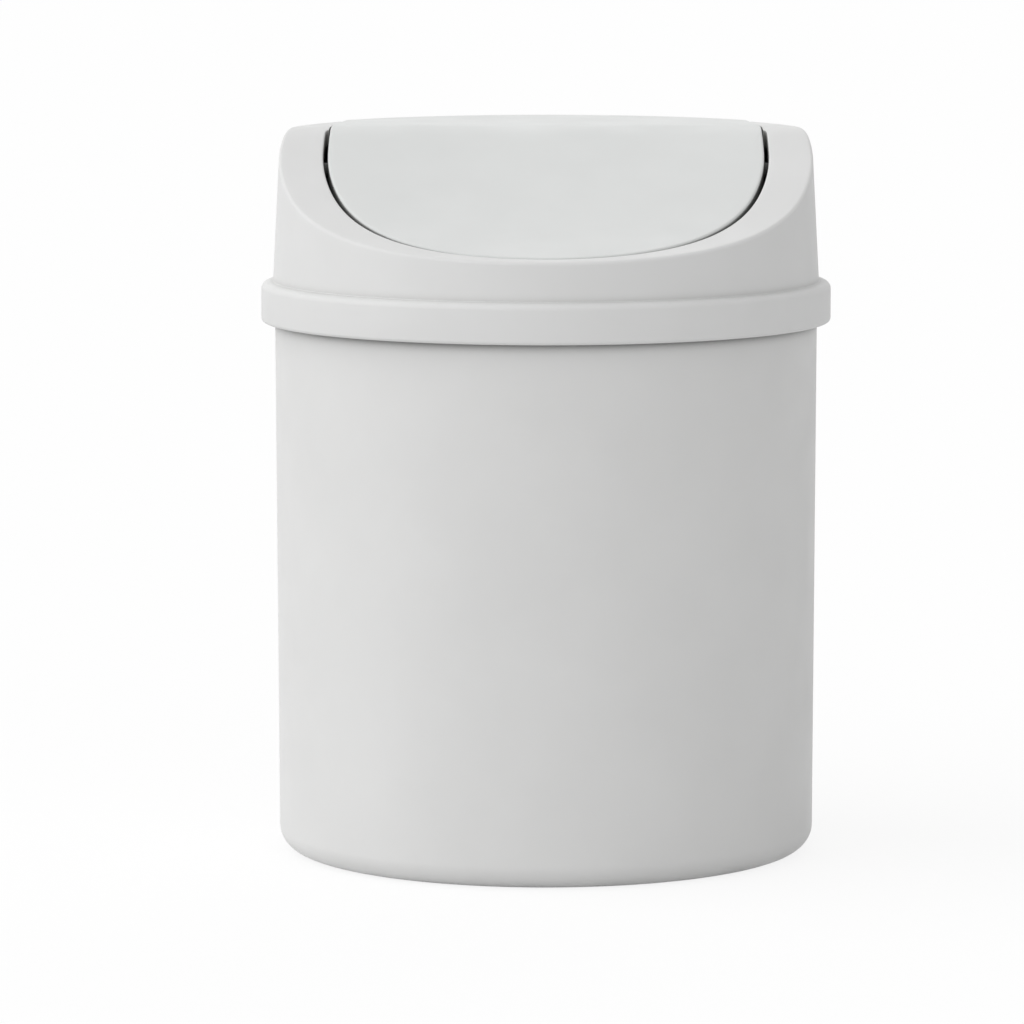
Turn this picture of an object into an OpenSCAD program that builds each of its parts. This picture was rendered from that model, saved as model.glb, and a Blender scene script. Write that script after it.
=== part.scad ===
// Countertop trash can with a swing lid: a round bin, a lid hood that caps its rim, and a flap that swings in the hood.
// Millimetres. +Z is up, the front faces -Y, and the origin is on the table under the middle of the bin.

/* [Bin] */
// Height of the bin from the table to the top of its rim
bin_h = 128; // [115:0.1:145]
// Outer radius of the bin at the table
bin_base_r = 61.3; // [58:0.1:61.8]
// Outer radius of the bin under its rim
bin_top_r = 61.9; // [61.3:0.1:64]
// Thickness of the bin's wall
bin_wall = 1.6; // [1.2:0.1:2.2]
// Thickness of the bin's floor
floor_t = 2; // [1.4:0.1:3]
// Rounding of the outer edge at the table
base_round = 7; // [5:0.5:9]
// Radius of the hollow under the floor
foot_hollow_r = 50; // [40:1:52]
// Depth of the hollow under the floor
foot_hollow_d = 1.2; // [0.6:0.1:2]
// How far the rim's bead stands out from the wall
bead_out = 1.1; // [0.8:0.1:1.4]
// Height of the rim's bead
bead_h = 3; // [2.4:0.1:4]

/* [Lid band] */
// Running clearance between the rim's bead and the band
band_fit = 0.3; // [0.2:0.05:0.5]
// Thickness of the band
band_wall = 1.7; // [1.4:0.1:2.2]
// How far the band hangs below the top of the rim
band_drop = 6.5; // [4.5:0.1:9]
// Thickness of the shoulder that rests on the rim
shoulder_t = 2.2; // [2:0.1:3]
// Rise of the shoulder from the band to the hood's wall
shoulder_rise = 0.5; // [0.5:0.1:1.4]
// Rounding of the band's upper outer edge
band_round_top = 1.5; // [0.8:0.1:1.7]
// Rounding of the band's lower outer edge
band_round_low = 1.6; // [0.5:0.1:1.6]

/* [Hood] */
// Outer radius of the hood where its wall leaves the shoulder
hood_foot_r = 62.3; // [61.6:0.1:62.9]
// Outer radius of the hood at its top
hood_top_r = 60.5; // [59.6:0.1:61.5]
// Thickness of the hood's wall and top
hood_wall = 1.8; // [1.4:0.1:2.2]
// Height of the flap's top above the shoulder
hood_h = 34.3; // [30:0.1:42]
// Height of the front lip above the shoulder
lip_h = 8.7; // [5:0.1:12]
// Depth of the turned-down edge round the opening
hood_edge_d = 4; // [3:0.1:5]
// Thickness of the turned-down edge round the opening
hood_edge_t = 1.4; // [1:0.1:1.8]

/* [Scoop] */
// Radius of the hollow in the front of the face
scoop_r = 155; // [125:1:170]
// Slope of the face at the front lip, in degrees
lip_slope = 7.6; // [3:0.1:9]
// Slope of the face in its middle, in degrees
face_slope = 24.1; // [20:0.1:25]
// Radius of the soft fold between the face and the flat top
fold_r = 25; // [12:1:40]

/* [Flap] */
// Thickness of the flap's plate
flap_t = 1.8; // [1.4:0.1:2.2]
// How far the flap stands above the hood at the top
flap_proud = 0.3; // [0.2:0.05:0.8]
// Half the width of the opening in the hood
opening_half_w = 50.75; // [48:0.05:52]
// Width of the hood's rim in front of the opening
front_rim = 3.5; // [3:0.1:5]
// Slot between the flap and the hood in front of the fold
slot_gap = 1.05; // [0.8:0.05:1.4]
// Seam between the flap and the hood behind the fold
seam_gap = 0.35; // [0.3:0.05:0.6]
// Reach of the curve that the flap's sides follow behind the hinge
rear_reach = 116; // [100:1:140]
// Depth of the flap's turned-down edge
flap_edge_d = 3.8; // [3:0.1:5]
// Depth of the deeper edge behind the fold, which makes the flap heavier at its rear so that it closes by itself
rear_edge_d = 6; // [4:0.5:8]
// Thickness of the flap's turned-down edge
flap_edge_t = 1.3; // [1:0.1:1.8]
// Room between the flap's deeper edge and the ledge and wall of the hood
edge_room = 0.6; // [0.4:0.1:1]
// Width of the ledge that the flap's rear rests on
ledge_w = 2; // [1.4:0.1:3]
// Thickness of that ledge
ledge_t = 1.6; // [1.2:0.1:2.2]

/* [Hinge] */
// Place of the hinge line in front of or behind the middle of the bin
hinge_y = -0.5; // [-3:0.1:1]
// Radius of the flap's two pins
pin_r = 1.75; // [1.5:0.05:2]
// Radial clearance of a pin in its hole
pin_fit = 0.08; // [0.05:0.01:0.1]
// Gap left between the top of a hole and the underside of the hood's top
pin_cover = 0.2; // [0.1:0.05:0.6]
// Wall of plastic round each hole and pin
boss_wall = 2.8; // [2.2:0.1:3.4]
// Thickness of the hood's two bearing lugs
lug_t = 3; // [2.4:0.1:4]
// Thickness of the flap's two webs
web_t = 2.4; // [2:0.1:3]
// How far the webs and lugs are drawn back from the two sides of the slot
web_inset = 0.3; // [0.2:0.1:0.6]
// How far a pin's end stops short of the outside of its lug
pin_short = 0.3; // [0.1:0.1:0.8]

/* [Hidden] */
$fn = 128;
plastic = [0.82, 0.82, 0.81];
flap_plastic = [0.86, 0.86, 0.86];
// A cutting solid passes its target by this much
past = 0.5;
// Half the reach of the solids that follow the face
span = 75;
// Chords along the scoop, the fold and the flap's outline
scoop_steps = 22;
fold_steps = 12;
side_steps = 24;

bead_r = bin_top_r + bead_out;
band_in_r = bead_r + band_fit;
band_r = band_in_r + band_wall;
band_low_z = bin_h - band_drop;
band_top_z = bin_h + shoulder_t;
shoulder_z = band_top_z + shoulder_rise;
top_z = shoulder_z + hood_h;
lip_z = shoulder_z + lip_h;
hood_in_foot_r = hood_foot_r - hood_wall;
hood_in_top_r = hood_top_r - hood_wall;

// Outer radius of the hood's wall at height z
function hood_r(z) = hood_foot_r + (hood_top_r - hood_foot_r) * (z - shoulder_z) / hood_h;

lip_y = -hood_r(lip_z);
scoop_c = [lip_y - scoop_r * sin(lip_slope), lip_z + scoop_r * cos(lip_slope)];
scoop_end = scoop_c + scoop_r * [sin(face_slope), -cos(face_slope)];
flap_half_w = opening_half_w - slot_gap;
flap_front = -lip_y - front_rim - slot_gap;

// Centre of the fold's arc, for a flat top at height top
function fold_c(top) = [
    scoop_end[0] + (top - scoop_end[1]) / tan(face_slope) + fold_r * tan(face_slope / 2),
    top - fold_r
];

// Points along the face from front to back, sunk by sink square to the surface
function face_line(top, sink) = concat(
    [for (i = [0 : scoop_steps])
        let (a = lip_slope - 4 + (face_slope - lip_slope + 4) * i / scoop_steps)
        scoop_c + (scoop_r + sink) * [sin(a), -cos(a)]],
    [for (i = [0 : fold_steps])
        let (a = face_slope * (1 - i / fold_steps))
        fold_c(top) + (fold_r - sink) * [-sin(a), cos(a)]],
    [[span, top - sink]]
);

// Where the fold ends on the flat top, and its middle
fold_back_y = fold_c(top_z)[0];
fold_mid_y = fold_back_y - fold_r * sin(face_slope / 2);

// The hinge line lies under the hood's top by a pin's radius and the cover
function slope_z(y, sink) = scoop_end[1] + (y - scoop_end[0]) * tan(face_slope) - sink / cos(face_slope);
hole_r = pin_r + pin_fit;
boss_r = hole_r + boss_wall;
hinge_z = slope_z(hinge_y, hood_wall + pin_cover + hole_r);

// Inner faces of the bearing lugs and of the webs
lug_x = opening_half_w + web_inset;
web_x = flap_half_w - web_inset - web_t;

// Plan of the flap, grown by grow: half an ellipse in front of the middle and part of a longer one behind it
function plan(grow) = concat(
    [for (i = [-side_steps : side_steps])
        let (a = 90 * i / side_steps)
        [(flap_half_w + grow) * sin(a), -(flap_front + grow) * cos(a)]],
    [for (i = [1 : side_steps]) plan_rear(1, i / side_steps, grow)],
    [for (i = [side_steps : -1 : 1]) plan_rear(-1, i / side_steps, grow)]
);

function plan_rear(side, share, grow) =
    let (y = span * share)
    [side * (flap_half_w * sqrt(1 - pow(y / rear_reach, 2)) + grow), y];

// Turns a shape drawn in Y and Z into a bar along X
module bar(half_w) {
    rotate([90, 0, 90])
        translate([0, 0, -half_w])
            linear_extrude(height = 2 * half_w)
                children();
}

// Everything under the face
module under_face(top, sink) {
    bar(span)
        polygon(concat(face_line(top, sink), [[span, 0], [face_line(top, sink)[0][0], 0]]));
}

// Everything above the face
module above_face(top, sink) {
    ceiling = top + span;
    bar(span)
        polygon(concat(face_line(top, sink), [[span, ceiling], [face_line(top, sink)[0][0], ceiling]]));
}

// A sheet that follows the face, between two depths
module face_sheet(top, from_sink, to_sink) {
    difference() {
        under_face(top, from_sink);
        under_face(top, to_sink);
    }
}

// The flap's plan as an upright column, between two places along Y
module plan_column(grow, from_y, to_y) {
    linear_extrude(height = top_z + past)
        intersection() {
            polygon(plan(grow));
            translate([-span, from_y])
                square([2 * span, to_y - from_y]);
        }
}

// One bearing lug or web: a rounded tongue round the hinge line, reaching up into the sheet above it
module tongue(from_x, thick) {
    translate([from_x, hinge_y, 0])
        rotate([90, 0, 90])
            linear_extrude(height = thick)
                union() {
                    translate([0, hinge_z])
                        circle(r = boss_r);
                    translate([-boss_r, hinge_z])
                        square([2 * boss_r, top_z - hinge_z]);
                }
}

module hinge_rod(from_x, to_x, r) {
    translate([from_x, hinge_y, hinge_z])
        rotate([0, 90, 0])
            cylinder(h = to_x - from_x, r = r);
}

module both_sides() {
    children();
    mirror([1, 0, 0])
        children();
}

// Bin: straight-sided tub with a rounded foot, a hollow under the floor and a bead round the rim
module bin_body() {
    bead_round = bead_h / 4;
    bead_flat_r = bead_r - bead_round;
    color(plastic)
        difference() {
            union() {
                rotate_extrude()
                    intersection() {
                        union() {
                            polygon([
                                [0, base_round],
                                [bin_base_r, base_round],
                                [bin_top_r, bin_h],
                                [0, bin_h]
                            ]);
                            square([bin_base_r - base_round, base_round + past]);
                            translate([bin_base_r - base_round, base_round])
                                circle(r = base_round);
                        }
                        square([span, bin_h]);
                    }
                translate([0, 0, bin_h - bead_h])
                    rotate_extrude()
                        union() {
                            square([bead_flat_r, bead_h]);
                            translate([0, bead_round])
                                square([bead_r, bead_h - 2 * bead_round]);
                            translate([bead_flat_r, bead_round])
                                circle(r = bead_round);
                            translate([bead_flat_r, bead_h - bead_round])
                                circle(r = bead_round);
                        }
            }
            bin_inside();
            translate([0, 0, -past])
                cylinder(h = foot_hollow_d + past, r = foot_hollow_r);
        }
}

// The room inside the bin
module bin_inside() {
    in_round = base_round - bin_wall;
    in_base_r = bin_base_r - bin_wall;
    in_top_r = bin_top_r - bin_wall;
    low_z = foot_hollow_d + floor_t;
    rotate_extrude()
        union() {
            polygon([
                [0, low_z + in_round],
                [in_base_r, low_z + in_round],
                [in_top_r, bin_h],
                [in_top_r, bin_h + past],
                [0, bin_h + past]
            ]);
            translate([0, low_z])
                square([in_base_r - in_round, in_round + past]);
            translate([in_base_r - in_round, low_z + in_round])
                circle(r = in_round);
        }
}

// Band, shoulder and wall of the hood, before the face is cut
module hood_shell() {
    rotate_extrude()
        difference() {
            union() {
                translate([0, band_low_z + band_round_low])
                    square([band_r, band_top_z - band_low_z - band_round_low - band_round_top]);
                translate([0, band_low_z])
                    square([band_r - band_round_low, band_round_low + past]);
                translate([band_r - band_round_low, band_low_z + band_round_low])
                    circle(r = band_round_low);
                translate([band_r - band_round_top, band_top_z - band_round_top])
                    circle(r = band_round_top);
                polygon([
                    [0, band_top_z - band_round_top - past],
                    [band_r - band_round_top, band_top_z - band_round_top - past],
                    [band_r - band_round_top, band_top_z],
                    [hood_foot_r, shoulder_z],
                    [hood_top_r, top_z],
                    [0, top_z]
                ]);
            }
            translate([-past, band_low_z - past])
                square([band_in_r + past, bin_h - band_low_z + past]);
            polygon([
                [-past, bin_h - past],
                [hood_in_foot_r, bin_h - past],
                [hood_in_foot_r, shoulder_z],
                [hood_in_top_r, top_z + past],
                [-past, top_z + past]
            ]);
        }
}

// Lid hood: the band caps the bin's rim, and the scooped top holds the opening, its ledge and the bearing lugs
module lid_hood() {
    hood_top = top_z - flap_proud;
    color(plastic)
        difference() {
            union() {
                intersection() {
                    hood_shell();
                    under_face(hood_top, 0);
                }
                intersection() {
                    face_sheet(hood_top, 0, hood_wall);
                    translate([0, 0, shoulder_z])
                        cylinder(h = hood_h, r1 = hood_foot_r - hood_wall / 2, r2 = hood_top_r - hood_wall / 2);
                }
                intersection() {
                    face_sheet(hood_top, 0, hood_edge_d);
                    plan_column(slot_gap + hood_edge_t, -span, span);
                    translate([0, 0, shoulder_z])
                        cylinder(h = hood_h, r1 = hood_foot_r - hood_wall / 2, r2 = hood_top_r - hood_wall / 2);
                }
                intersection() {
                    both_sides()
                        tongue(lug_x, lug_t);
                    under_face(hood_top, hood_wall / 2);
                }
            }
            opening();
            both_sides()
                hinge_rod(opening_half_w - past, lug_x + lug_t + past, hole_r);
        }
}

// What is cut from the hood for the flap: a slot in front of the fold, a close recess behind it, and the way through
module opening() {
    plan_column(slot_gap, -span, fold_mid_y);
    intersection() {
        plan_column(seam_gap, fold_mid_y - past, span);
        above_face(top_z, flap_t);
    }
    plan_column(seam_gap, fold_mid_y - past, fold_back_y);
    intersection() {
        plan_column(-ledge_w, fold_mid_y - past, span);
        translate([0, 0, shoulder_z])
            cylinder(h = hood_h + past, r1 = hood_in_foot_r, r2 = hood_in_top_r);
    }
    difference() {
        intersection() {
            plan_column(seam_gap, fold_back_y - past, span);
            under_face(top_z, flap_t + ledge_t);
        }
        hood_shell();
    }
}

// Swing flap: one bent plate with a turned-down edge, and two webs that carry the pins
module swing_flap() {
    color(flap_plastic)
        union() {
            intersection() {
                face_sheet(top_z, 0, flap_t);
                plan_column(0, -span, span);
                cylinder(h = top_z + past, r = hood_top_r);
            }
            difference() {
                intersection() {
                    face_sheet(top_z, flap_t / 2, flap_edge_d);
                    plan_column(0, -span, fold_mid_y);
                }
                plan_column(-flap_edge_t, -span, span);
            }
            rear_edge();
            intersection() {
                both_sides()
                    tongue(web_x, web_t);
                under_face(top_z, flap_t / 2);
            }
            both_sides()
                hinge_rod(web_x + web_t / 2, lug_x + lug_t - pin_short, pin_r);
        }
}

// The turned-down edge behind the fold, drawn in to clear the ledge and the hood's wall
module rear_edge() {
    out_r = hood_in_top_r - edge_room;
    difference() {
        intersection() {
            face_sheet(top_z, flap_t / 2, rear_edge_d);
            plan_column(-ledge_w - edge_room, fold_mid_y, span);
            cylinder(h = top_z, r = out_r);
        }
        intersection() {
            plan_column(-ledge_w - edge_room - flap_edge_t, fold_mid_y - past, span);
            cylinder(h = top_z + past, r = out_r - flap_edge_t);
        }
    }
}

bin_body();
lid_hood();
swing_flap();
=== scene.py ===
"""Countertop trash can with a swing lid: the bin, the lid hood that caps its rim, and the swinging flap.

Metres in Blender; the sizes below are millimetres, in the frame of the CAD parts: +Z up, front towards -Y.
"""

from math import acos, atan2, cos, hypot, pi, radians, sin, sqrt, tan

import bmesh
import bpy
from mathutils import Matrix, Vector


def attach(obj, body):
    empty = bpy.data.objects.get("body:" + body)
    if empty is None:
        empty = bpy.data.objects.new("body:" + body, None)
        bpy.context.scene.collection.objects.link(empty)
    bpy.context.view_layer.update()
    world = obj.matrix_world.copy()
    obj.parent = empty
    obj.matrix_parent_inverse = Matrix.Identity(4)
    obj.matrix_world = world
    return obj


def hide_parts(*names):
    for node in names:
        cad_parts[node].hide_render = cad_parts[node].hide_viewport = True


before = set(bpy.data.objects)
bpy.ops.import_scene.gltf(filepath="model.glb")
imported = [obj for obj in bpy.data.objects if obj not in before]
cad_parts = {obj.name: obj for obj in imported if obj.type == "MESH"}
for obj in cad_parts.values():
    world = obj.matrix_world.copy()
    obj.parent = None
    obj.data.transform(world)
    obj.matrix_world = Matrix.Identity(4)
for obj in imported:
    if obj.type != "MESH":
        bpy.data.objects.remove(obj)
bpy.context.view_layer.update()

MM = 0.001

# Bin
BIN_H = 128.0
BIN_BASE_R = 61.3
BIN_TOP_R = 61.9
BIN_WALL = 1.6
FLOOR_T = 2.0
BASE_ROUND = 7.0
FOOT_HOLLOW_R = 50.0
FOOT_HOLLOW_D = 1.2
HOLLOW_ROUND = 0.5
FOOT_RING_ROUND = 0.4
BEAD_OUT = 1.1
BEAD_H = 3.0
BEAD_ROUND = 0.75
BEAD_FILLET = 0.4
RIM_ROUND = 0.3
BEAD_R = BIN_TOP_R + BEAD_OUT

# Lid band and shoulder
BAND_FIT = 0.3
BAND_WALL = 1.7
BAND_DROP = 6.5
BAND_ROUND_TOP = 1.5
BAND_ROUND_LOW = 1.6
BAND_ROUND_IN = 0.3
SHOULDER_T = 2.2
SHOULDER_RISE = 0.5
SHOULDER_FILLET = 0.3
SEAT_ROUND = 0.2
BAND_IN_R = BEAD_R + BAND_FIT
BAND_R = BAND_IN_R + BAND_WALL
BAND_LOW_Z = BIN_H - BAND_DROP
BAND_TOP_Z = BIN_H + SHOULDER_T
SHOULDER_Z = BAND_TOP_Z + SHOULDER_RISE

# Hood
HOOD_FOOT_R = 62.3
HOOD_TOP_R = 60.5
HOOD_WALL = 1.8
HOOD_H = 34.3
HOOD_EDGE_D = 4.0
HOOD_EDGE_T = 1.4
LIP_H = 8.7
LIP_ROUND = 1.2
EAR_ROUND = 0.4
EAR_BLUNT = 0.8
REAR_LIP_ROUND = 0.2
REAR_SEAT_W = 0.3
REAR_SEAT_ROUND = 0.05
TURN_DOWN_ROUND = 0.4
FLAP_PROUD = 0.3
TOP_Z = SHOULDER_Z + HOOD_H
HOOD_TOP_Z = TOP_Z - FLAP_PROUD
LIP_Z = SHOULDER_Z + LIP_H
HOOD_IN_FOOT_R = HOOD_FOOT_R - HOOD_WALL
HOOD_IN_TOP_R = HOOD_TOP_R - HOOD_WALL

# Scooped face
SCOOP_R = 155.0
LIP_SLOPE = radians(7.6)
FACE_SLOPE = radians(24.1)
FOLD_R = 25.0

# Flap
FLAP_T = 1.8
OPENING_HALF_W = 50.75
FRONT_RIM = 3.5
SLOT_GAP = 1.05
SEAM_GAP = 0.35
REAR_REACH = 116.0
FLAP_EDGE_D = 3.8
REAR_EDGE_D = 6.0
FLAP_EDGE_T = 1.3
EDGE_ROOM = 0.6
LEDGE_W = 2.0
LEDGE_T = 1.6
LEDGE_ROUND = 0.2
LEDGE_ROOT_ROUND = 0.1
FLAP_HALF_W = OPENING_HALF_W - SLOT_GAP

# Edges of the gap between flap and hood, and the turns over which they change
SLOT_EDGE_ROUND = 0.5
FLAP_EDGE_ROUND = 0.8
SEAM_EDGE_ROUND = 0.2
SEAM_EASE = radians(5)
REAR_EASE = radians(12)
SLOT_END_TURN = radians(2.8)

# Hinge
HINGE_Y = -0.5
PIN_R = 1.75
PIN_FIT = 0.08
PIN_COVER = 0.2
PIN_SHORT = 0.3
PIN_END_ROUND = 0.3
PIN_END_STEP = 0.09
BOSS_WALL = 2.8
LUG_T = 3.0
WEB_T = 2.4
WEB_INSET = 0.3
CHAMFER = 0.3
HOLE_MOUTH = 0.25
ROOT_SHARE = 0.6
HOLE_R = PIN_R + PIN_FIT
BOSS_R = HOLE_R + BOSS_WALL
LUG_X = OPENING_HALF_W + WEB_INSET
WEB_X = FLAP_HALF_W - WEB_INSET - WEB_T
PIN_END_X = LUG_X + LUG_T - PIN_SHORT
PIN_CORE_R = PIN_R * 0.4

# Steps in the arc of each edge
HOLLOW_STEPS = 4
FOOT_STEPS = 16
INNER_FOOT_STEPS = 14
BEAD_STEPS = 6
BAND_STEPS = 8
LIP_STEPS = 8
FLAP_EDGE_STEPS = 7
FILLET_STEPS = 5
SMALL_STEPS = 3
TINY_STEPS = 2

# Rings laid between the edges, and spokes all round
SPOKES = 288
FLOOR_RINGS = 8
BIN_WALL_RINGS = 14
BIN_IN_RINGS = 12
HOOD_WALL_RINGS = 14
HOOD_IN_RINGS = 8
DECK_RINGS = 8
FACE_RINGS = 50
UNDERSIDE_RINGS = 24
TONGUE_POINTS = 64

# Room between an arc or corner and the next ring, and the least distance between two rings
ARC_ROOM = 1.0
FACE_ROOM = 1.2
UNDERSIDE_ROOM = 0.8
RIM_ROOM = 0.5
SEAT_ROOM = 0.2
LEDGE_ROOM = 0.5
ROOF_ROOM = 0.6
SHOULDER_ROOM = 0.3
EDGE_CLEAR = 0.7
HAIR = 0.01

# The same room as a share: of the lip's rounding, and at most of the deck's width
LIP_CLEAR = 1.5
LIP_CLEAR_SHARE = 0.45
EDGE_CLEAR_SHARE = 0.4

# Rings on an upright edge: shares of the hood's edge, with their steps, and of the flap's thickness
TURN_DOWN_SHARES = ((0.3, 0), (0.45, SMALL_STEPS), (0.6, SMALL_STEPS), (0.75, 0))
FLAP_EDGE_SHARES = (0.9, 1.2)

# Spokes beside a step in the section, and the shares of the slot's end that get a spoke of their own
STEP_TURN = radians(0.04)
STEP_ROOM = radians(0.35)
SLOT_END_SPOKES = (0.04, 0.13, 0.3, 0.55, 0.8)

# Limits and repeats of the searches
NEARLY_ZERO = 1e-6
NEARLY_STRAIGHT = 0.02
ARC_SHARE = 0.48
FARTHEST_R = 75.0
LONGEST_TONGUE = 40.0
EAR_SEARCH_START = radians(110)
EAR_SEARCH_STEP = radians(0.05)
OUTLINE_TRIES = 40
LIP_TRIES = 30
TONGUE_TRIES = 12

# Finishing of a mesh, in metres
MERGE_DISTANCE = 2e-6
SLIVER_LENGTH = 1e-6
SHARP_FROM = radians(32)

# Plastic, per metre and in metres
GRAINS_PER_METRE = 3600.0
GRAIN_STRENGTH = 0.12
GRAIN_DEPTH = 0.00004
MOTTLE_PER_METRE = 35.0
# The painted shade in gaps is a touch warm: its blue is scaled by this
SHADE_WARMTH = 0.97
PLASTIC_IOR = 1.49
PLASTIC_SPECULAR = 0.28

# Places of the colours among the sockets of a Mix node
MIX_A = 6
MIX_B = 7
MIX_RESULT = 2

# Stage: the floor's half width is in metres and its drop in millimetres
WHITE = (1.0, 1.0, 1.0, 1.0)
FLOOR_HALF_WIDTH = 20.0
FLOOR_DROP = 0.05
FLOOR_THROWN = (0.75, 0.75, 0.75, 1.0)
FLOOR_GLOW_SHARE = 0.85
AIR_STRENGTH = 0.55

# Lamps: name, direction they stand in, strength, and breadth in degrees
LAMPS = (
    ("soft_key", (-0.83, -0.15, 0.56), 1.52, 80),
    ("front_fill", (0.01, -0.10, 0.06), 0.42, 60),
    ("rear_fill", (0.05, 0.8, 0.6), 0.3, 50),
)
LAMP_DISTANCE = 2.0

# Camera, in metres, and where the point that it aims at falls in the picture, in pixels
CAMERA_DISTANCE = 1.429
CAMERA_RISE = radians(6.6)
CAMERA_TARGET_Z = 0.0825
CAMERA_SEES = 100.0
SENSOR_MM = 36.0
PICTURE_PX = 1024
PX_PER_MM = 4.36
CENTRE_U = 546.0
CENTRE_V = 489.0


# Shape of the lid


def hood_r(z):
    """Outer radius of the hood's wall at height z."""
    return HOOD_FOOT_R + (HOOD_TOP_R - HOOD_FOOT_R) * (z - SHOULDER_Z) / HOOD_H


def hood_in_r(z):
    """Inner radius of the hood's wall at height z."""
    return HOOD_IN_FOOT_R + (HOOD_IN_TOP_R - HOOD_IN_FOOT_R) * (z - SHOULDER_Z) / (TOP_Z - SHOULDER_Z)


LIP_Y = -hood_r(LIP_Z)
SCOOP_Y = LIP_Y - SCOOP_R * sin(LIP_SLOPE)
SCOOP_Z = LIP_Z + SCOOP_R * cos(LIP_SLOPE)
FLAP_FRONT = -LIP_Y - FRONT_RIM - SLOT_GAP


def fold_y(top):
    """Where the fold's arc ends on a flat top at height top."""
    end_y = SCOOP_Y + SCOOP_R * sin(FACE_SLOPE)
    end_z = SCOOP_Z - SCOOP_R * cos(FACE_SLOPE)
    return end_y + (top - end_z) / tan(FACE_SLOPE) + FOLD_R * tan(FACE_SLOPE / 2)


FOLD_BACK_Y = fold_y(TOP_Z)
FOLD_MID_Y = FOLD_BACK_Y - FOLD_R * sin(FACE_SLOPE / 2)


def face_z(y, top, sink=0.0):
    """Height of the face at depth y, sunk square to its surface by sink."""
    scoop = SCOOP_R + sink
    scoop_end = SCOOP_Y + scoop * sin(FACE_SLOPE)
    if y <= scoop_end:
        return SCOOP_Z - sqrt(scoop * scoop - (y - SCOOP_Y) ** 2)
    fold = FOLD_R - sink
    centre_y = fold_y(top)
    if y >= centre_y:
        return top - sink
    if y >= centre_y - fold * sin(FACE_SLOPE):
        return top - FOLD_R + sqrt(fold * fold - (y - centre_y) ** 2)
    return SCOOP_Z - scoop * cos(FACE_SLOPE) + (y - scoop_end) * tan(FACE_SLOPE)


HINGE_Z = face_z(HINGE_Y, HOOD_TOP_Z, HOOD_WALL + PIN_COVER + HOLE_R)


def face_under(turn, top):
    """The face along one spoke: its height at a radius, sunk by sink."""
    c = cos(turn)

    def skin(r, sink=0.0):
        return face_z(-r * c, top, sink)

    return skin


def plan_r(turn, grow):
    """Distance from the middle to the flap's outline, grown by grow, at turn from the front."""
    s, c = abs(sin(turn)), cos(turn)
    if c >= 0:
        a, b = FLAP_HALF_W + grow, FLAP_FRONT + grow
        return 1 / sqrt((s / a) ** 2 + (c / b) ** 2)
    r = FLAP_HALF_W
    for _ in range(OUTLINE_TRIES):
        y = -r * c
        x = FLAP_HALF_W * sqrt(max(0.0, 1 - (y / REAR_REACH) ** 2)) + grow
        r = 0.5 * r + 0.5 * min(x / max(s, NEARLY_ZERO), FARTHEST_R)
    return r


def ear_tip_turn():
    """The turn at which the hood's top rim behind the fold has narrowed to a blunt tip."""
    turn = EAR_SEARCH_START
    while plan_r(turn, SEAM_GAP) < hood_r(HOOD_TOP_Z) - EAR_BLUNT:
        turn += EAR_SEARCH_STEP
    return turn


def turn_at(y, grow):
    """The turn at which the outline, grown by grow, is at depth y behind the middle."""
    x = FLAP_HALF_W * sqrt(1 - (y / REAR_REACH) ** 2) + grow
    return pi - atan2(x, y)


EAR_TURN = ear_tip_turn()
FOLD_TURN = turn_at(FOLD_MID_Y, SLOT_GAP)
LEDGE_TURN = turn_at(FOLD_BACK_Y, 0.0)


def part_way(turn, start, reach):
    """How far turn has come on the way from start over reach, from 0 to 1."""
    return max(0.0, min(1.0, (turn - start) / reach))


def opening_gap(side):
    """Gap between flap and hood: a slot that closes to a seam in a rounded end just before the fold."""
    shut = part_way(side, FOLD_TURN - SLOT_END_TURN, SLOT_END_TURN)
    return SEAM_GAP + (SLOT_GAP - SEAM_GAP) * sqrt(1 - shut * shut)


def edge_round(side, full):
    """Rounding of an edge of the gap: full along the slot and at the rear, nearly sharp along the seam."""
    seam_begun = part_way(side, FOLD_TURN - SEAM_EASE, SEAM_EASE)
    seam_ended = part_way(side, EAR_TURN - REAR_EASE, REAR_EASE)
    return full + (SEAM_EDGE_ROUND - full) * (seam_begun - seam_ended)


# Shells grown ring by ring


def spread(start, end, count):
    """count values from just after start to just before end."""
    return [start + (end - start) * (i + 1) / (count + 1) for i in range(count)]


def sharp(points):
    """Corners without an arc at the points (along, up)."""
    return [(along, up, 0, 0) for along, up in points]


def rounded(corners):
    """Points along a section with corners (along, up, radius, steps), each corner's arc worked out."""
    points = []
    count = len(corners)
    for i, (a, b, radius, steps) in enumerate(corners):
        if not steps:
            points.append((a, b))
            continue
        before, after = corners[i - 1], corners[(i + 1) % count]
        u = (before[0] - a, before[1] - b)
        v = (after[0] - a, after[1] - b)
        lu, lv = hypot(*u), hypot(*v)
        u = (u[0] / lu, u[1] / lu)
        v = (v[0] / lv, v[1] / lv)
        inner = acos(max(-1.0, min(1.0, u[0] * v[0] + u[1] * v[1])))
        if pi - inner < NEARLY_STRAIGHT:
            points.extend([(a, b)] * (steps + 1))
            continue
        reach = min(radius / tan(inner / 2), ARC_SHARE * lu, ARC_SHARE * lv)
        start = (a + u[0] * reach, b + u[1] * reach)
        end = (a + v[0] * reach, b + v[1] * reach)
        radius = reach * tan(inner / 2)
        middle = (u[0] + v[0], u[1] + v[1])
        size = hypot(*middle)
        far = hypot(reach, radius)
        centre = (a + middle[0] / size * far, b + middle[1] / size * far)
        first = atan2(start[1] - centre[1], start[0] - centre[0])
        last = atan2(end[1] - centre[1], end[0] - centre[0])
        sweep = (last - first + pi) % (2 * pi) - pi
        for k in range(steps + 1):
            angle = first + sweep * k / steps
            points.append((centre[0] + radius * cos(angle), centre[1] + radius * sin(angle)))
    return points


def folded(turn):
    """The same turn measured from the front on either side, from 0 to pi."""
    return turn if turn <= pi else 2 * pi - turn


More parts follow.
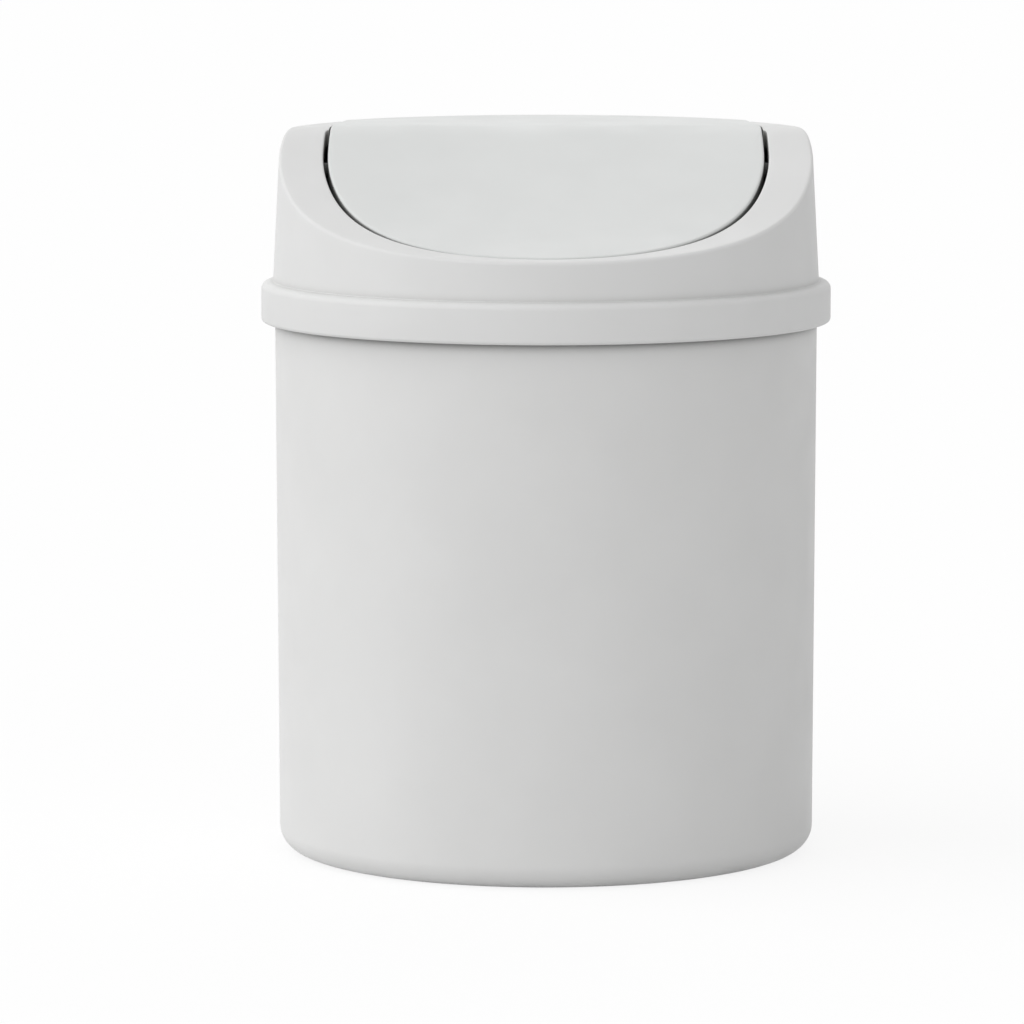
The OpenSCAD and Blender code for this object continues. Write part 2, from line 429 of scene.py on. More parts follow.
def spot(r, z, turn):
    """The place at radius r and height z in the direction turn from the front, in metres."""
    return Vector((r * sin(turn) * MM, -r * cos(turn) * MM, z * MM))


def turns(steps, fine=()):
    """Directions of the spokes all round.

    On both sides each step of the section gets a close pair, and each fine turn a spoke of its own."""
    own = [2 * pi * i / SPOKES for i in range(SPOKES)]
    for step in steps:
        for place in (step, 2 * pi - step):
            own = [t for t in own if abs(t - place) > STEP_ROOM]
            own += [place - STEP_TURN / 2, place + STEP_TURN / 2]
    for turn in fine:
        own += [turn, 2 * pi - turn]
    return sorted(own)


def grown_shell(bm, sections, closed):
    """A shell with one section per spoke: a ring is laid down, then pulled out ring by ring.

    closed joins the last ring to the first; otherwise both end rings are drawn in to a point."""
    spokes, depth = len(sections), len(sections[0])
    made = bmesh.ops.create_circle(bm, cap_ends=False, radius=1.0, segments=spokes)
    ring = list(made["verts"])
    first_edges = edges = list({e for v in ring for e in v.link_edges})
    for vert, section in zip(ring, sections):
        vert.co = section[0]
    first_ring = ring
    for level in range(1, depth):
        grown = bmesh.ops.extrude_edge_only(bm, edges=edges)["geom"]
        fresh = {g for g in grown if isinstance(g, bmesh.types.BMVert)}
        step = []
        for vert in ring:
            step.append(next(o for o in (e.other_vert(vert) for e in vert.link_edges) if o in fresh))
        edges = [g for g in grown if isinstance(g, bmesh.types.BMEdge) and all(v in fresh for v in g.verts)]
        ring = step
        for vert, section in zip(ring, sections):
            vert.co = section[level]
    if closed:
        bmesh.ops.bridge_loops(bm, edges=first_edges + edges)
    else:
        for end in (first_ring, ring):
            middle = sum((v.co for v in end), Vector()) / spokes
            bmesh.ops.pointmerge(bm, verts=end, merge_co=middle)


def finished(name, bm, material):
    """Closes up a bmesh into a shown object with its material."""
    bmesh.ops.remove_doubles(bm, verts=bm.verts, dist=MERGE_DISTANCE)
    bmesh.ops.dissolve_degenerate(bm, edges=bm.edges, dist=SLIVER_LENGTH)
    bmesh.ops.recalc_face_normals(bm, faces=bm.faces)
    mesh = bpy.data.meshes.new(name)
    bm.to_mesh(mesh)
    bm.free()
    for face in mesh.polygons:
        face.use_smooth = True
    mesh.set_sharp_from_angle(angle=SHARP_FROM)
    mesh.materials.append(material)
    thing = bpy.data.objects.new(name, mesh)
    bpy.context.collection.objects.link(thing)
    return thing


# Bin


def bin_profile():
    """The bin's section from the middle of its underside round to the middle of its inside floor."""
    floor_z = FOOT_HOLLOW_D + FLOOR_T
    in_base_r, in_top_r = BIN_BASE_R - BIN_WALL, BIN_TOP_R - BIN_WALL
    bead_z = BIN_H - BEAD_H

    def wall_r(z):
        return BIN_BASE_R + (BIN_TOP_R - BIN_BASE_R) * (z - BASE_ROUND) / (BIN_H - BASE_ROUND)

    def in_r(z):
        return in_base_r + (in_top_r - in_base_r) * (z - floor_z) / (BIN_H - floor_z)

    corners = sharp([(0.0, FOOT_HOLLOW_D)])
    corners += sharp((r, FOOT_HOLLOW_D) for r in spread(0, FOOT_HOLLOW_R, FLOOR_RINGS))
    corners += [
        (FOOT_HOLLOW_R, FOOT_HOLLOW_D, HOLLOW_ROUND, HOLLOW_STEPS),
        (FOOT_HOLLOW_R, 0.0, FOOT_RING_ROUND, HOLLOW_STEPS),
        (BIN_BASE_R, 0.0, BASE_ROUND, FOOT_STEPS),
    ]
    outside = spread(BASE_ROUND + ARC_ROOM, bead_z - ARC_ROOM, BIN_WALL_RINGS)
    corners += sharp((wall_r(z), z) for z in outside)
    corners += [
        (wall_r(bead_z), bead_z, BEAD_FILLET, SMALL_STEPS),
        (BEAD_R, bead_z, BEAD_ROUND, BEAD_STEPS),
        (BEAD_R, BIN_H, BEAD_ROUND, BEAD_STEPS),
        (in_top_r, BIN_H, RIM_ROUND, SMALL_STEPS),
    ]
    inside = spread(BIN_H - ARC_ROOM, floor_z + BASE_ROUND + ARC_ROOM, BIN_IN_RINGS)
    corners += sharp((in_r(z), z) for z in inside)
    corners += [(in_base_r, floor_z, BASE_ROUND - BIN_WALL, INNER_FOOT_STEPS)]
    corners += sharp((r, floor_z) for r in spread(in_base_r - BASE_ROUND, 0, FLOOR_RINGS))
    corners += sharp([(0.0, floor_z)])
    return rounded(corners)


def make_bin(material):
    """The tub: its section spun once round the middle."""
    bm = bmesh.new()
    points = bin_profile()
    verts = [bm.verts.new((r * MM, 0.0, z * MM)) for r, z in points]
    edges = [bm.edges.new(pair) for pair in zip(verts, verts[1:])]
    bmesh.ops.spin(
        bm,
        geom=verts + edges,
        cent=(0, 0, 0),
        axis=(0, 0, 1),
        angle=2 * pi,
        steps=SPOKES,
        use_merge=True,
        use_duplicate=False,
    )
    return finished("bin_tub", bm, material)


# Hood


def lip_height(skin):
    """Height at which the face along a spoke meets the outside of the hood's wall."""
    lip_r = HOOD_TOP_R
    for _ in range(LIP_TRIES):
        lip_r = hood_r(skin(lip_r))
    return skin(lip_r)


def deck_corners(turn, skin, lip_z):
    """The hood's top from its lip to the edge of the opening, in front of the ears' tips."""
    side = folded(turn)
    lip_r = hood_r(lip_z)
    edge_r = plan_r(turn, opening_gap(side))
    deck_w = lip_r - edge_r
    front_share = 0.5 + 0.5 * cos(turn)
    lip_round = EAR_ROUND + (LIP_ROUND - EAR_ROUND) * front_share
    start = lip_r - min(lip_round * LIP_CLEAR, deck_w * LIP_CLEAR_SHARE)
    end = edge_r + min(EDGE_CLEAR, deck_w * EDGE_CLEAR_SHARE)
    corners = [(lip_r, lip_z, lip_round, LIP_STEPS)]
    corners += sharp((r, skin(r)) for r in spread(start + HAIR, end - HAIR, DECK_RINGS))
    corners += [(edge_r, skin(edge_r), edge_round(side, SLOT_EDGE_ROUND), FILLET_STEPS)]
    return corners


def rear_rim_corners(rest_z):
    """The hood's rear rim, on which the flap's flat top rests, with as many points as the deck."""
    lip_r = hood_r(rest_z)
    seat_r = HOOD_IN_TOP_R + REAR_SEAT_W
    corners = [(lip_r, rest_z, REAR_LIP_ROUND, LIP_STEPS)]
    corners += sharp((r, rest_z) for r in spread(lip_r - RIM_ROOM, seat_r + SEAT_ROOM, DECK_RINGS))
    corners += [(seat_r, rest_z, REAR_SEAT_ROUND, FILLET_STEPS)]
    return corners


def ledge_corners(turn, skin, edge_r, rest_z, eared):
    """The ledge under the flap's rear, from the edge of the opening to the inside of the wall."""
    in_r = hood_in_r(rest_z)
    ledge_r = min(plan_r(turn, -LEDGE_W), in_r - 2 * HAIR)
    ledge_low = rest_z - LEDGE_T
    under_r = min(plan_r(turn, SEAM_GAP), in_r)
    back_r = min(plan_r(turn, SLOT_GAP + HOOD_EDGE_T), in_r)
    low_z = skin(edge_r, HOOD_EDGE_D)
    roof_z = skin(back_r, HOOD_WALL)
    corners = sharp([(edge_r, rest_z) if eared else (min(edge_r, in_r), rest_z - HAIR / 2)])
    corners += [
        (ledge_r, rest_z, LEDGE_ROUND, SMALL_STEPS),
        (ledge_r, ledge_low, LEDGE_ROUND, SMALL_STEPS),
        (under_r - HAIR, ledge_low - HAIR, 0, 0),
        (under_r, low_z, LEDGE_ROOT_ROUND, TINY_STEPS),
        (max(back_r, under_r + HAIR), low_z - HAIR, LEDGE_ROOT_ROUND, TINY_STEPS),
        (max(back_r, under_r + 2 * HAIR), roof_z, 0, 0),
        (hood_in_r(roof_z) + 3 * HAIR, roof_z - 2 * HAIR, 0, 0),
    ]
    return corners


def turned_down_corners(turn, skin, edge_r):
    """The edge of the opening turned down beside the slot, with as many points as the ledge."""
    low_z = skin(edge_r, HOOD_EDGE_D)
    top_z = skin(edge_r)
    drop = top_z - low_z
    back_r = plan_r(turn, SLOT_GAP + HOOD_EDGE_T)
    in_top_z = skin(HOOD_IN_TOP_R, HOOD_WALL)
    corners = [(edge_r, top_z - drop * share, 0, steps) for share, steps in TURN_DOWN_SHARES]
    return corners + [
        (edge_r, low_z, TURN_DOWN_ROUND, TINY_STEPS),
        (back_r, skin(back_r, HOOD_EDGE_D), TURN_DOWN_ROUND, TINY_STEPS),
        (back_r, skin(back_r, HOOD_WALL), 0, 0),
        (hood_in_r(in_top_z), in_top_z, 0, 0),
    ]


def hood_section(turn):
    """The hood's closed section: band, shoulder, wall, top, edge of the opening and back down inside."""
    side = folded(turn)
    eared = side < EAR_TURN
    rest_z = TOP_Z - FLAP_T
    skin = face_under(turn, HOOD_TOP_Z)
    lip_z = lip_height(skin) if eared else rest_z
    corners = [
        (BAND_IN_R, BAND_LOW_Z, BAND_ROUND_IN, SMALL_STEPS),
        (BAND_R, BAND_LOW_Z, BAND_ROUND_LOW, BAND_STEPS),
        (BAND_R, BAND_TOP_Z, BAND_ROUND_TOP, BAND_STEPS),
        (HOOD_FOOT_R, SHOULDER_Z, SHOULDER_FILLET, FILLET_STEPS),
    ]
    outside = spread(SHOULDER_Z + ARC_ROOM, lip_z - LIP_ROUND, HOOD_WALL_RINGS)
    corners += sharp((hood_r(z), z) for z in outside)
    corners += deck_corners(turn, skin, lip_z) if eared else rear_rim_corners(rest_z)
    edge_r = corners[-1][0]
    if side > LEDGE_TURN:
        corners += ledge_corners(turn, skin, edge_r, rest_z, eared)
        start_z = skin(edge_r, HOOD_EDGE_D) - LEDGE_ROOM
    else:
        corners += turned_down_corners(turn, skin, edge_r)
        start_z = skin(HOOD_IN_TOP_R, HOOD_WALL) - ROOF_ROOM
    inside = spread(start_z, SHOULDER_Z + SHOULDER_ROOM, HOOD_IN_RINGS)
    corners += sharp((hood_in_r(z), z) for z in inside)
    corners += [
        (HOOD_IN_FOOT_R, SHOULDER_Z, 0, 0),
        (HOOD_IN_FOOT_R, BIN_H, SEAT_ROUND, SMALL_STEPS),
        (BAND_IN_R, BIN_H, 0, 0),
    ]
    return [spot(r, z, turn) for r, z in rounded(corners)]


# Lugs, webs and pins


def tongue_ring(radius, top_z):
    """The outline of a lug or web as points round the hinge line, its flat end reaching up to top_z."""
    points = []
    for i in range(TONGUE_POINTS):
        angle = 2 * pi * i / TONGUE_POINTS
        y, z = sin(angle), -cos(angle)
        reach = radius
        if z > 0:
            widest = radius / max(abs(y), NEARLY_ZERO)
            up = (top_z(HINGE_Y + y * min(widest, LONGEST_TONGUE)) - HINGE_Z) / max(z, NEARLY_ZERO)
            reach = min(widest, up)
            for _ in range(TONGUE_TRIES):
                reach = min(widest, (top_z(HINGE_Y + y * reach) - HINGE_Z) / z)
        points.append((y * reach, z * reach))
    return points


def circle_ring(radius):
    """A circle round the hinge line, with as many points as a lug's outline."""
    angles = [2 * pi * i / TONGUE_POINTS for i in range(TONGUE_POINTS)]
    return [(radius * sin(angle), -radius * cos(angle)) for angle in angles]


def shrunk(ring, by):
    """The same ring with every point drawn in towards the hinge line."""
    return [(y * (1 - by / hypot(y, z)), z * (1 - by / hypot(y, z))) for y, z in ring]


def slab_rings(x, thickness, outline):
    """Rings (x, outline) of a slab with chamfered edges, from its face at x outwards."""
    face = shrunk(outline, CHAMFER)
    return [
        (x, face),
        (x + CHAMFER, outline),
        (x + thickness - CHAMFER, outline),
        (x + thickness, face),
    ]


def tongue_place(mirror, x, point):
    """The place of an outline's point (y, z) from the hinge line, at x on the side that mirror gives."""
    y, z = point
    return Vector((mirror * x * MM, (HINGE_Y + y) * MM, (HINGE_Z + z) * MM))


def tongue_sections(mirror, rings):
    """Sections of a tongue from its rings (x, outline): one for each point of the outline."""
    return [[tongue_place(mirror, x, ring[i]) for x, ring in rings] for i in range(TONGUE_POINTS)]


def make_hood(material):
    """The lid's frame with the two lugs that the flap's pins turn in."""
    bm = bmesh.new()
    slot_end = [FOLD_TURN - SLOT_END_TURN * part for part in SLOT_END_SPOKES]
    spokes = turns((FOLD_TURN, LEDGE_TURN, EAR_TURN), slot_end)
    grown_shell(bm, [hood_section(t) for t in spokes], closed=True)
    outline = tongue_ring(BOSS_R, lambda y: face_z(y, HOOD_TOP_Z, HOOD_WALL * ROOT_SHARE))
    hole = circle_ring(HOLE_R)
    mouth = circle_ring(HOLE_R + HOLE_MOUTH)
    rings = slab_rings(LUG_X, LUG_T, outline)
    rings += [
        (LUG_X + LUG_T, mouth),
        (LUG_X + LUG_T - HOLE_MOUTH, hole),
        (LUG_X + HOLE_MOUTH, hole),
        (LUG_X, mouth),
    ]
    for mirror in (-1, 1):
        grown_shell(bm, tongue_sections(mirror, rings), closed=True)
    return finished("lid_hood_shell", bm, material)


# Flap


def flap_section(turn):
    """The flap's section from the middle of its face over the edge to the middle of its underside."""
    side = folded(turn)
    edge_r = min(plan_r(turn, 0), HOOD_TOP_R)
    skin = face_under(turn, TOP_Z)
    rim_r = edge_r - FACE_ROOM
    face = [rim_r * i / FACE_RINGS for i in range(1, FACE_RINGS + 1)]
    corners = sharp((r, skin(r)) for r in face)
    corners += [(edge_r, skin(edge_r), edge_round(side, FLAP_EDGE_ROUND), FLAP_EDGE_STEPS)]
    if side < FOLD_TURN:
        edge_d = FLAP_EDGE_D
        out_r = edge_r
        inner_r = plan_r(turn, -FLAP_EDGE_T)
        corners += sharp((edge_r, skin(edge_r, FLAP_T * share)) for share in FLAP_EDGE_SHARES)
    else:
        edge_d = REAR_EDGE_D
        out_r = min(plan_r(turn, -LEDGE_W - EDGE_ROOM), HOOD_IN_TOP_R - EDGE_ROOM)
        inner_r = min(plan_r(turn, -LEDGE_W - EDGE_ROOM - FLAP_EDGE_T), out_r - FLAP_EDGE_T)
        corners += sharp((r, skin(r, FLAP_T)) for r in (edge_r, out_r))
    corners += [
        (out_r, skin(out_r, edge_d), TURN_DOWN_ROUND, SMALL_STEPS),
        (inner_r, skin(inner_r, edge_d), TURN_DOWN_ROUND, SMALL_STEPS),
        (inner_r, skin(inner_r, FLAP_T), TURN_DOWN_ROUND, SMALL_STEPS),
    ]
    underside = spread(inner_r - UNDERSIDE_ROOM, 0, UNDERSIDE_RINGS)
    corners += sharp((r, skin(r, FLAP_T)) for r in underside)
    return [spot(r, z, turn) for r, z in rounded(corners)]


def make_flap(material):
    """The bent flap with its two webs and the pins on them."""
    bm = bmesh.new()
    grown_shell(bm, [flap_section(t) for t in turns((FOLD_TURN,))], closed=False)
    outline = tongue_ring(BOSS_R, lambda y: face_z(y, TOP_Z, FLAP_T * ROOT_SHARE))
    pin = circle_ring(PIN_R)
    core = circle_ring(PIN_CORE_R)
    rings = [
        (PIN_END_X, core),
        (PIN_END_X, circle_ring(PIN_R - PIN_END_ROUND)),
        (PIN_END_X - PIN_END_STEP, circle_ring(PIN_R - PIN_END_STEP)),
        (PIN_END_X - PIN_END_ROUND, pin),
        (WEB_X + WEB_T, pin),
    ]
    rings += reversed(slab_rings(WEB_X, WEB_T, outline))
    rings += [(WEB_X, pin), (WEB_X, core)]
    for mirror in (-1, 1):
        grown_shell(bm, tongue_sections(mirror, rings), closed=False)
    return finished("swing_flap_plate", bm, material)


# Materials


def new_group(name, inputs, outputs):
    """A node group with inputs (name, kind, value) and outputs (name, kind), and its two end nodes."""
    group = bpy.data.node_groups.new(name, "ShaderNodeTree")
    for label, kind, value in inputs:
        made = group.interface.new_socket(name=label, in_out="INPUT", socket_type="NodeSocket" + kind)
        if value is not None:
            made.default_value = value
    for label, kind in outputs:
        group.interface.new_socket(name=label, in_out="OUTPUT", socket_type="NodeSocket" + kind)
    return group, group.nodes.new("NodeGroupInput"), group.nodes.new("NodeGroupOutput")


def mould_grain():
    """Fine grain of a matte mould: gives a normal that is slightly uneven."""
    inputs = (
        ("Place", "Vector", None),
        ("Grains per metre", "Float", 3000.0),
        ("Strength", "Float", 0.1),
        ("Depth", "Float", 0.00005),
    )
    group, into, out = new_group("mould_grain", inputs, (("Normal", "Vector"),))
    fine = group.nodes.new("ShaderNodeTexNoise")
    fine.inputs["Detail"].default_value = 2.0
    fine.inputs["Roughness"].default_value = 0.6
    bump = group.nodes.new("ShaderNodeBump")
    links = group.links
    links.new(into.outputs["Place"], fine.inputs["Vector"])
    links.new(into.outputs["Grains per metre"], fine.inputs["Scale"])
    links.new(fine.outputs["Fac"], bump.inputs["Height"])
    links.new(into.outputs["Strength"], bump.inputs["Strength"])
    links.new(into.outputs["Depth"], bump.inputs["Distance"])
    links.new(bump.outputs["Normal"], out.inputs["Normal"])
    return group


def flow_mottle():
    """Soft, slow unevenness of moulded plastic: a colour that wanders between a pale and a deep one."""
    inputs = (
        ("Place", "Vector", None),
        ("Pale", "Color", (0.7, 0.7, 0.7, 1.0)),
        ("Deep", "Color", (0.68, 0.68, 0.68, 1.0)),
        ("Patches per metre", "Float", 30.0),
    )
    group, into, out = new_group("flow_mottle", inputs, (("Colour", "Color"),))
    slow = group.nodes.new("ShaderNodeTexNoise")
    slow.inputs["Detail"].default_value = 4.0
    slow.inputs["Roughness"].default_value = 0.55
    ramp = group.nodes.new("ShaderNodeMapRange")
    ramp.inputs["From Min"].default_value = 0.3
    ramp.inputs["From Max"].default_value = 0.7
    blend = group.nodes.new("ShaderNodeMix")
    blend.data_type = "RGBA"
    links = group.links
    links.new(into.outputs["Place"], slow.inputs["Vector"])
    links.new(into.outputs["Patches per metre"], slow.inputs["Scale"])
    links.new(slow.outputs["Fac"], ramp.inputs["Value"])
    links.new(ramp.outputs["Result"], blend.inputs["Factor"])
    links.new(into.outputs["Deep"], blend.inputs[MIX_A])
    links.new(into.outputs["Pale"], blend.inputs[MIX_B])
    links.new(blend.outputs[MIX_RESULT], out.inputs["Colour"])
    return group


def satin_sheen():
    """Roughness of handled satin plastic: wanders between two values with a noise of its own."""
    inputs = (
        ("Place", "Vector", None),
        ("Smooth", "Float", 0.42),
        ("Rough", "Float", 0.55),
        ("Patches per metre", "Float", 90.0),
    )
    group, into, out = new_group("satin_sheen", inputs, (("Roughness", "Float"),))
    noise = group.nodes.new("ShaderNodeTexNoise")
    noise.inputs["Detail"].default_value = 3.0
    spreader = group.nodes.new("ShaderNodeMapRange")
    spreader.inputs["From Min"].default_value = 0.35
    spreader.inputs["From Max"].default_value = 0.65
    links = group.links
    links.new(into.outputs["Place"], noise.inputs["Vector"])
    links.new(into.outputs["Patches per metre"], noise.inputs["Scale"])
    links.new(noise.outputs["Fac"], spreader.inputs["Value"])
    links.new(into.outputs["Smooth"], spreader.inputs["To Min"])
    links.new(into.outputs["Rough"], spreader.inputs["To Max"])
    links.new(spreader.outputs["Result"], out.inputs["Roughness"])
    return group


def gap_shade():
    """Painted shade in narrow gaps: darkens a colour where other surfaces lie within reach, as shade falls
    there.
    """
    inputs = (
        ("Place", "Vector", None),
        ("Colour", "Color", (0.7, 0.7, 0.7, 1.0)),
        ("Painted shade", "Color", (0.12, 0.12, 0.115, 1.0)),
        ("Reach", "Float", 0.0025),
        ("Shut at", "Float", 0.4),
        ("Open at", "Float", 0.78),
        ("Lowest", "Float", 0.02),
    )
    group, into, out = new_group("gap_shade", inputs, (("Colour", "Color"),))
    near = group.nodes.new("ShaderNodeAmbientOcclusion")
    near.samples = 12
    shut = group.nodes.new("ShaderNodeMapRange")
    shut.interpolation_type = "SMOOTHSTEP"
    shut.inputs["To Min"].default_value = 1.0
    shut.inputs["To Max"].default_value = 0.0
    height = group.nodes.new("ShaderNodeSeparateXYZ")
    above = group.nodes.new("ShaderNodeMath")
    above.operation = "GREATER_THAN"
    settled = group.nodes.new("ShaderNodeMath")
    settled.operation = "MULTIPLY"
    blend = group.nodes.new("ShaderNodeMix")
    blend.data_type = "RGBA"
    links = group.links
    links.new(into.outputs["Reach"], near.inputs["Distance"])
    links.new(near.outputs["AO"], shut.inputs["Value"])
    links.new(into.outputs["Shut at"], shut.inputs["From Min"])
    links.new(into.outputs["Open at"], shut.inputs["From Max"])
    links.new(into.outputs["Place"], height.inputs["Vector"])
    links.new(height.outputs["Z"], above.inputs[0])
    links.new(into.outputs["Lowest"], above.inputs[1])
    links.new(shut.outputs["Result"], settled.inputs[0])
    links.new(above.outputs["Value"], settled.inputs[1])
    links.new(settled.outputs["Value"], blend.inputs["Factor"])
    links.new(into.outputs["Colour"], blend.inputs[MIX_A])
    links.new(into.outputs["Painted shade"], blend.inputs[MIX_B])
    links.new(blend.outputs[MIX_RESULT], out.inputs["Colour"])
    return group


def node_of(tree, group):
    """A node that places a node group in a material."""
    made = tree.nodes.new("ShaderNodeGroup")
    made.node_tree = group
    return made


def satin_plastic(name, groups, pale, deep, roughness, shade_tone, shade_reach, shade_range):
    """Matte polypropylene: near-white, faintly mottled, with a fine grain from the mould, and painted shade
    darkening it in narrow gaps.
    """
    material = bpy.data.materials.new(name)
    material.use_nodes = True
    tree = material.node_tree
    tree.nodes.clear()
    place = tree.nodes.new("ShaderNodeTexCoord")
    placed = [node_of(tree, group) for group in groups]
    grain, mottle, sheen, painted_shade = placed
    shader = tree.nodes.new("ShaderNodeBsdfPrincipled")
    out = tree.nodes.new("ShaderNodeOutputMaterial")
    for node in placed:
        tree.links.new(place.outputs["Object"], node.inputs["Place"])
    grain.inputs["Grains per metre"].default_value = GRAINS_PER_METRE
    grain.inputs["Strength"].default_value = GRAIN_STRENGTH
    grain.inputs["Depth"].default_value = GRAIN_DEPTH
    mottle.inputs["Pale"].default_value = pale
    mottle.inputs["Deep"].default_value = deep
    mottle.inputs["Patches per metre"].default_value = MOTTLE_PER_METRE
    sheen.inputs["Smooth"].default_value = roughness[0]
    sheen.inputs["Rough"].default_value = roughness[1]
    # Painted shade: the dark colour laid in narrow gaps, and how near other surfaces must lie for it
    painted_shade.inputs["Painted shade"].default_value = (shade_tone, shade_tone, shade_tone * SHADE_WARMTH, 1.0)
    painted_shade.inputs["Reach"].default_value = shade_reach
    painted_shade.inputs["Shut at"].default_value = shade_range[0]
    painted_shade.inputs["Open at"].default_value = shade_range[1]
    tree.links.new(mottle.outputs["Colour"], painted_shade.inputs["Colour"])
    tree.links.new(painted_shade.outputs["Colour"], shader.inputs["Base Color"])
    tree.links.new(sheen.outputs["Roughness"], shader.inputs["Roughness"])
    tree.links.new(grain.outputs["Normal"], shader.inputs["Normal"])
    shader.inputs["IOR"].default_value = PLASTIC_IOR
    shader.inputs["Specular IOR Level"].default_value = PLASTIC_SPECULAR
    tree.links.new(shader.outputs["BSDF"], out.inputs["Surface"])
    return material


# Stage


def seen_rays(tree):
    """1 for rays that show the stage to the eye: straight, mirrored or through something clear."""
    path = tree.nodes.new("ShaderNodeLightPath")
    straight_or_mirrored = tree.nodes.new("ShaderNodeMath")
    straight_or_mirrored.operation = "MAXIMUM"
    seen = tree.nodes.new("ShaderNodeMath")
    seen.operation = "MAXIMUM"
    tree.links.new(path.outputs["Is Camera Ray"], straight_or_mirrored.inputs[0])
    tree.links.new(path.outputs["Is Glossy Ray"], straight_or_mirrored.inputs[1])
    tree.links.new(straight_or_mirrored.outputs["Value"], seen.inputs[0])
    tree.links.new(path.outputs["Is Transmission Ray"], seen.inputs[1])
    return seen.outputs["Value"]


def floor_material():
    """White paper: the eye sees it nearly white with a soft shadow, and it throws less light on the bin."""
    material = bpy.data.materials.new("studio_floor")
    material.use_nodes = True
    tree = material.node_tree
    tree.nodes.clear()
    thrown = tree.nodes.new("ShaderNodeBsdfDiffuse")
    thrown.inputs["Color"].default_value = FLOOR_THROWN
    seen = tree.nodes.new("ShaderNodeBsdfDiffuse")
    seen.inputs["Color"].default_value = WHITE
    glow = tree.nodes.new("ShaderNodeEmission")
    glow.inputs["Color"].default_value = WHITE
    glow.inputs["Strength"].default_value = 1.0
    lift = tree.nodes.new("ShaderNodeMixShader")
    lift.inputs["Fac"].default_value = FLOOR_GLOW_SHARE
    choose = tree.nodes.new("ShaderNodeMixShader")
    out = tree.nodes.new("ShaderNodeOutputMaterial")
    tree.links.new(seen.outputs["BSDF"], lift.inputs[1])
    tree.links.new(glow.outputs["Emission"], lift.inputs[2])
    tree.links.new(seen_rays(tree), choose.inputs["Fac"])
    tree.links.new(thrown.outputs["BSDF"], choose.inputs[1])
    tree.links.new(lift.outputs["Shader"], choose.inputs[2])
    tree.links.new(choose.outputs["Shader"], out.inputs["Surface"])
    return material


def make_floor():
    """A wide sheet just below the bin's foot."""
    bm = bmesh.new()
    just_below = Matrix.Translation((0.0, 0.0, -FLOOR_DROP * MM))
    bmesh.ops.create_grid(bm, x_segments=4, y_segments=4, size=FLOOR_HALF_WIDTH, matrix=just_below)
    mesh = bpy.data.meshes.new("studio_floor")
    bm.to_mesh(mesh)
    bm.free()
    mesh.materials.append(floor_material())
    floor = bpy.data.objects.new("studio_floor", mesh)
    bpy.context.collection.objects.link(floor)
    return floor


def set_world():
    """Even light from all round: white to the eye, softer on the bin."""
    world = bpy.data.worlds.new("studio_air")
    bpy.context.scene.world = world
    world.use_nodes = True
    tree = world.node_tree
    tree.nodes.clear()
    soft = tree.nodes.new("ShaderNodeBackground")
    soft.inputs["Color"].default_value = WHITE
    soft.inputs["Strength"].default_value = AIR_STRENGTH
    white = tree.nodes.new("ShaderNodeBackground")
    white.inputs["Color"].default_value = WHITE
    white.inputs["Strength"].default_value = 1.0
    choose = tree.nodes.new("ShaderNodeMixShader")
    out = tree.nodes.new("ShaderNodeOutputWorld")
    tree.links.new(seen_rays(tree), choose.inputs["Fac"])
    tree.links.new(soft.outputs["Background"], choose.inputs[1])
    tree.links.new(white.outputs["Background"], choose.inputs[2])
    tree.links.new(choose.outputs["Shader"], out.inputs["Surface"])


def add_lamp(name, towards, energy, spread_angle):
    """A broad soft lamp that shines from the direction towards."""
    lamp = bpy.data.lights.new(name, "SUN")
    lamp.energy = energy
    lamp.angle = radians(spread_angle)
    holder = bpy.data.objects.new(name, lamp)
    towards = Vector(towards).normalized()
    holder.rotation_euler = towards.to_track_quat("Z", "Y").to_euler()
    holder.location = towards * LAMP_DISTANCE
    bpy.context.collection.objects.link(holder)


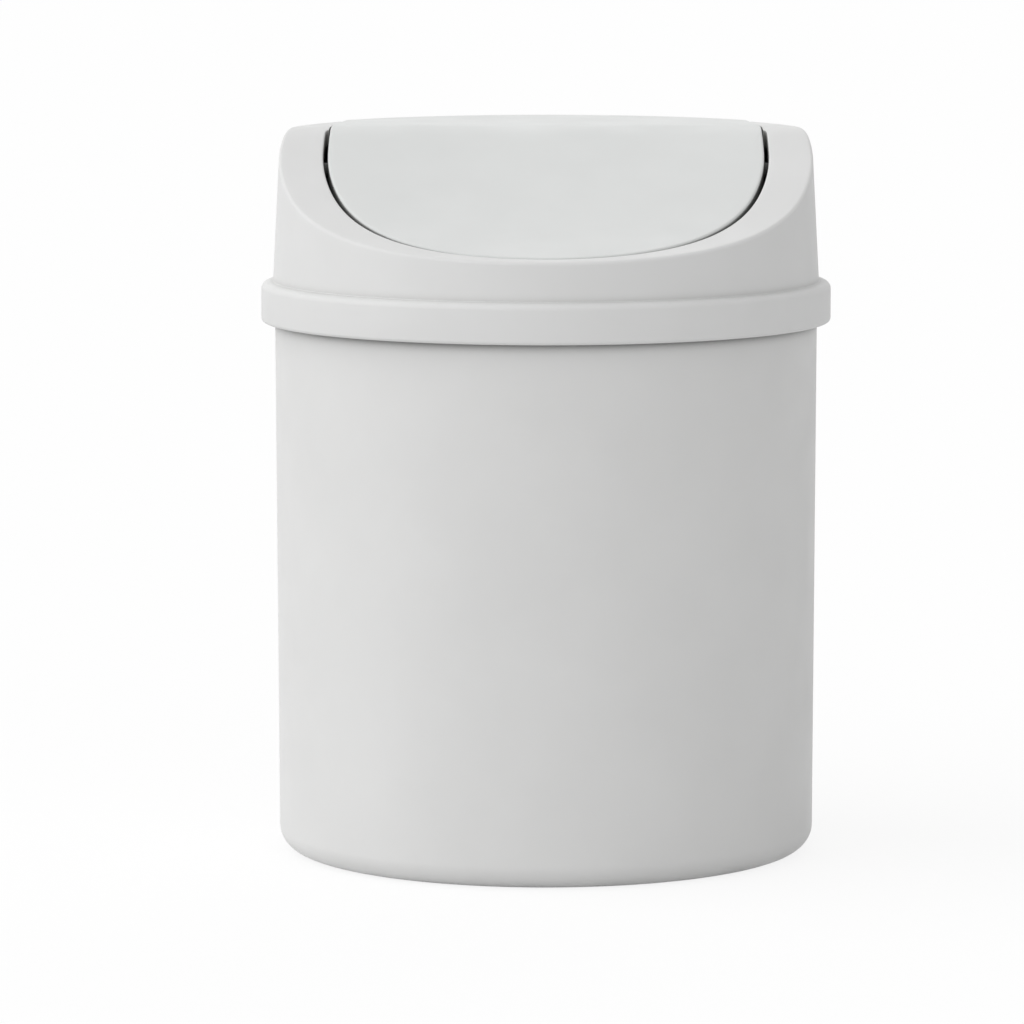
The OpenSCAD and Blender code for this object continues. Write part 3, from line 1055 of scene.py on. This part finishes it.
def add_camera():
    """The photograph's viewpoint: a long lens a little above the lid."""
    target = Vector((0, 0, CAMERA_TARGET_Z))
    data = bpy.data.cameras.new("photo_camera")
    data.sensor_width = SENSOR_MM
    data.lens = PX_PER_MM * CAMERA_DISTANCE / MM * SENSOR_MM / PICTURE_PX
    data.shift_x = -(CENTRE_U - PICTURE_PX / 2) / PICTURE_PX
    data.shift_y = (CENTRE_V - PICTURE_PX / 2) / PICTURE_PX
    data.clip_end = CAMERA_SEES
    camera = bpy.data.objects.new("photo_camera", data)
    camera.location = target + CAMERA_DISTANCE * Vector((0, -cos(CAMERA_RISE), sin(CAMERA_RISE)))
    camera.rotation_euler = (pi / 2 - CAMERA_RISE, 0, 0)
    bpy.context.collection.objects.link(camera)
    bpy.context.scene.camera = camera


groups = (mould_grain(), flow_mottle(), satin_sheen(), gap_shade())
# Each material's tone, reach and range below set the painted shade in its narrow gaps: under the lid's
# band, in the slot and at the shoulder.
bin_white = satin_plastic(
    "bin_white",
    groups,
    pale=(0.715, 0.715, 0.71, 1.0),
    deep=(0.69, 0.69, 0.685, 1.0),
    roughness=(0.45, 0.58),
    shade_tone=0.06,
    shade_reach=0.0035,
    shade_range=(0.5, 0.92),
)
lid_white = satin_plastic(
    "lid_white",
    groups,
    pale=(0.717, 0.718, 0.715, 1.0),
    deep=(0.697, 0.698, 0.694, 1.0),
    roughness=(0.48, 0.6),
    shade_tone=0.42,
    shade_reach=0.0025,
    shade_range=(0.4, 0.95),
)
# The flap's colours are a little darker than the lid's, though it is the same plastic: a painted shade that
# offsets the brighter light on its upward face.
flap_white = satin_plastic(
    "flap_white",
    groups,
    pale=(0.702, 0.713, 0.706, 1.0),
    deep=(0.682, 0.693, 0.686, 1.0),
    roughness=(0.48, 0.6),
    shade_tone=0.1,
    shade_reach=0.0025,
    shade_range=(0.4, 0.64),
)

tub = make_bin(bin_white)
hood = make_hood(lid_white)
flap = make_flap(flap_white)

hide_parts("bin_body")
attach(tub, "bin")
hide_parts("lid_hood")
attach(hood, "hood")
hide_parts("swing_flap")
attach(flap, "flap")

floor = make_floor()
set_world()
for lamp in LAMPS:
    add_lamp(*lamp)
add_camera()
bpy.context.scene.view_settings.view_transform = "Standard"
